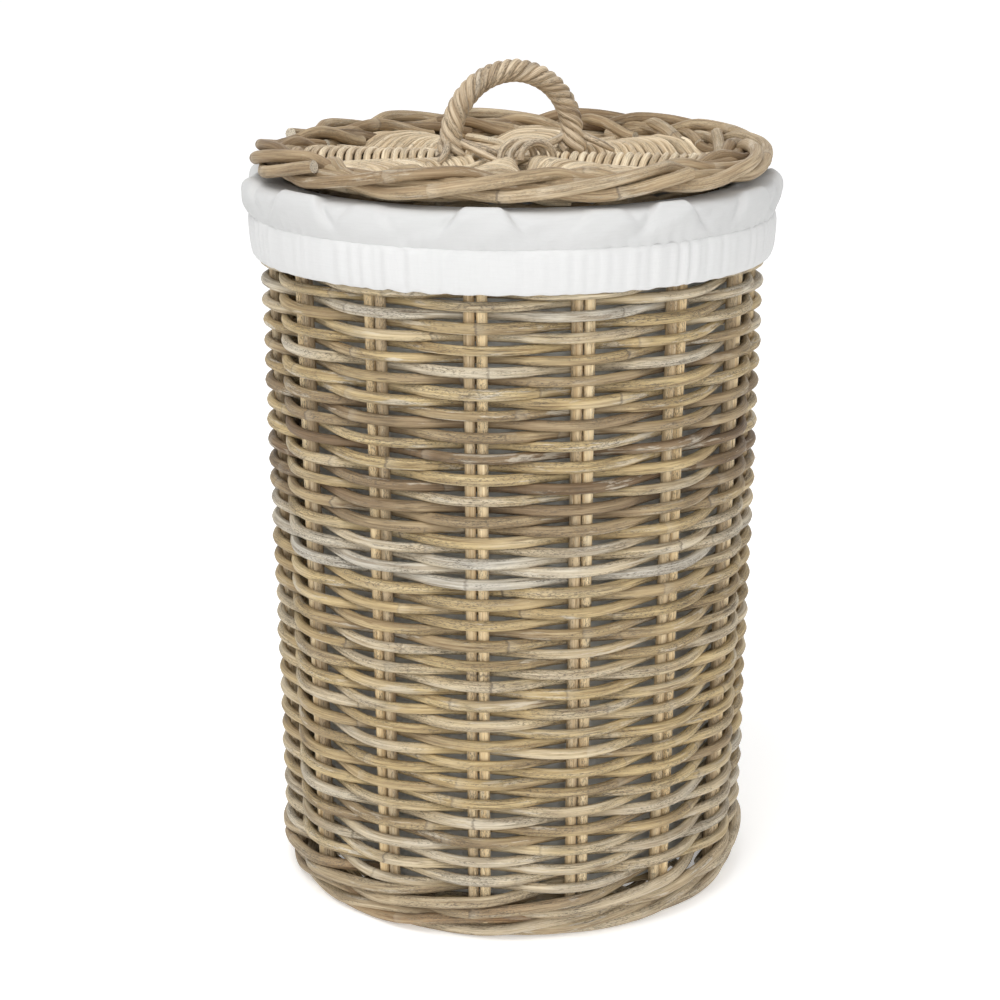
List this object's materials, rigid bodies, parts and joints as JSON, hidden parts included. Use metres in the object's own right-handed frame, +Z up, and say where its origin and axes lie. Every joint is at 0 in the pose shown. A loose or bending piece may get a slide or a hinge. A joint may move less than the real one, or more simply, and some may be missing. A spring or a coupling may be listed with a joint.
{
  "type": "laundry basket",
  "caption": "Round woven rattan laundry basket with a removable cotton liner folded over its rim and a lift-off woven lid with a rope-wrapped arch handle.",
  "frame": {"origin": "centre of the foot border, on the floor", "axes": "+Z up; -Y is the front; the lid's handle runs across X, turned 25 degrees about Z"},
  "size_m": [0.4179, 0.418, 0.6551],
  "materials": {
    "wall_rattan": "matt, weathered, open grain",
    "stake_rattan": "matt, weathered, open grain",
    "border_rattan": "matt, weathered, open grain",
    "base_rattan": "matt, weathered, open grain",
    "lid_rattan": "matt, pale, open grain",
    "handle_rattan": "satin, worn by hands",
    "liner_cotton": "matt plain-woven cotton",
    "elastic": "matt knitted elastic"
  },
  "bodies": {
    "basket": {"foot_border": "border_rattan", "upsett_wale": "border_rattan", "base_sticks_under": "base_rattan", "base_sticks_over": "base_rattan", "base_weave": "base_rattan", "stake_pair_01": "stake_rattan", "stake_pair_02": "stake_rattan", "stake_pair_03": "stake_rattan", "stake_pair_04": "stake_rattan", "stake_pair_05": "stake_rattan", "stake_pair_06": "stake_rattan", "stake_pair_07": "stake_rattan", "stake_pair_08": "stake_rattan", "stake_pair_09": "stake_rattan", "stake_pair_10": "stake_rattan", "stake_pair_11": "stake_rattan", "stake_pair_12": "stake_rattan", "stake_pair_13": "stake_rattan", "stake_pair_14": "stake_rattan", "stake_pair_15": "stake_rattan", "wall_weave_1": "wall_rattan", "wall_weave_2": "wall_rattan", "wall_weave_3": "wall_rattan", "wall_weave_4": "wall_rattan", "wall_weave_5": "wall_rattan", "rim_border": "border_rattan"},
    "liner": {"liner_base": "liner_cotton", "liner_wall": "liner_cotton", "liner_fold": "liner_cotton", "liner_cuff": "liner_cotton", "liner_hem": "liner_cotton", "hem_elastic": "elastic"},
    "lid": {"lid_border": "lid_rattan", "lid_sticks_under": "lid_rattan", "lid_sticks_over": "lid_rattan", "lid_weave": "lid_rattan", "lid_ring": "lid_rattan", "handle_core": "handle_rattan", "handle_strand_1": "handle_rattan", "handle_strand_2": "handle_rattan", "handle_strand_3": "handle_rattan", "handle_strand_4": "handle_rattan", "handle_strand_5": "handle_rattan", "handle_tails": "handle_rattan"}
  },
  "joints": [
    {"name": "liner_lift", "type": "slide", "parent": "basket", "child": "liner", "axis": [0, 0, 1], "range_m": [0, 0.56]},
    {"name": "lid_lift", "type": "slide", "parent": "liner", "child": "lid", "axis": [0, 0, 1], "range_m": [0, 0.25]}
  ]
}
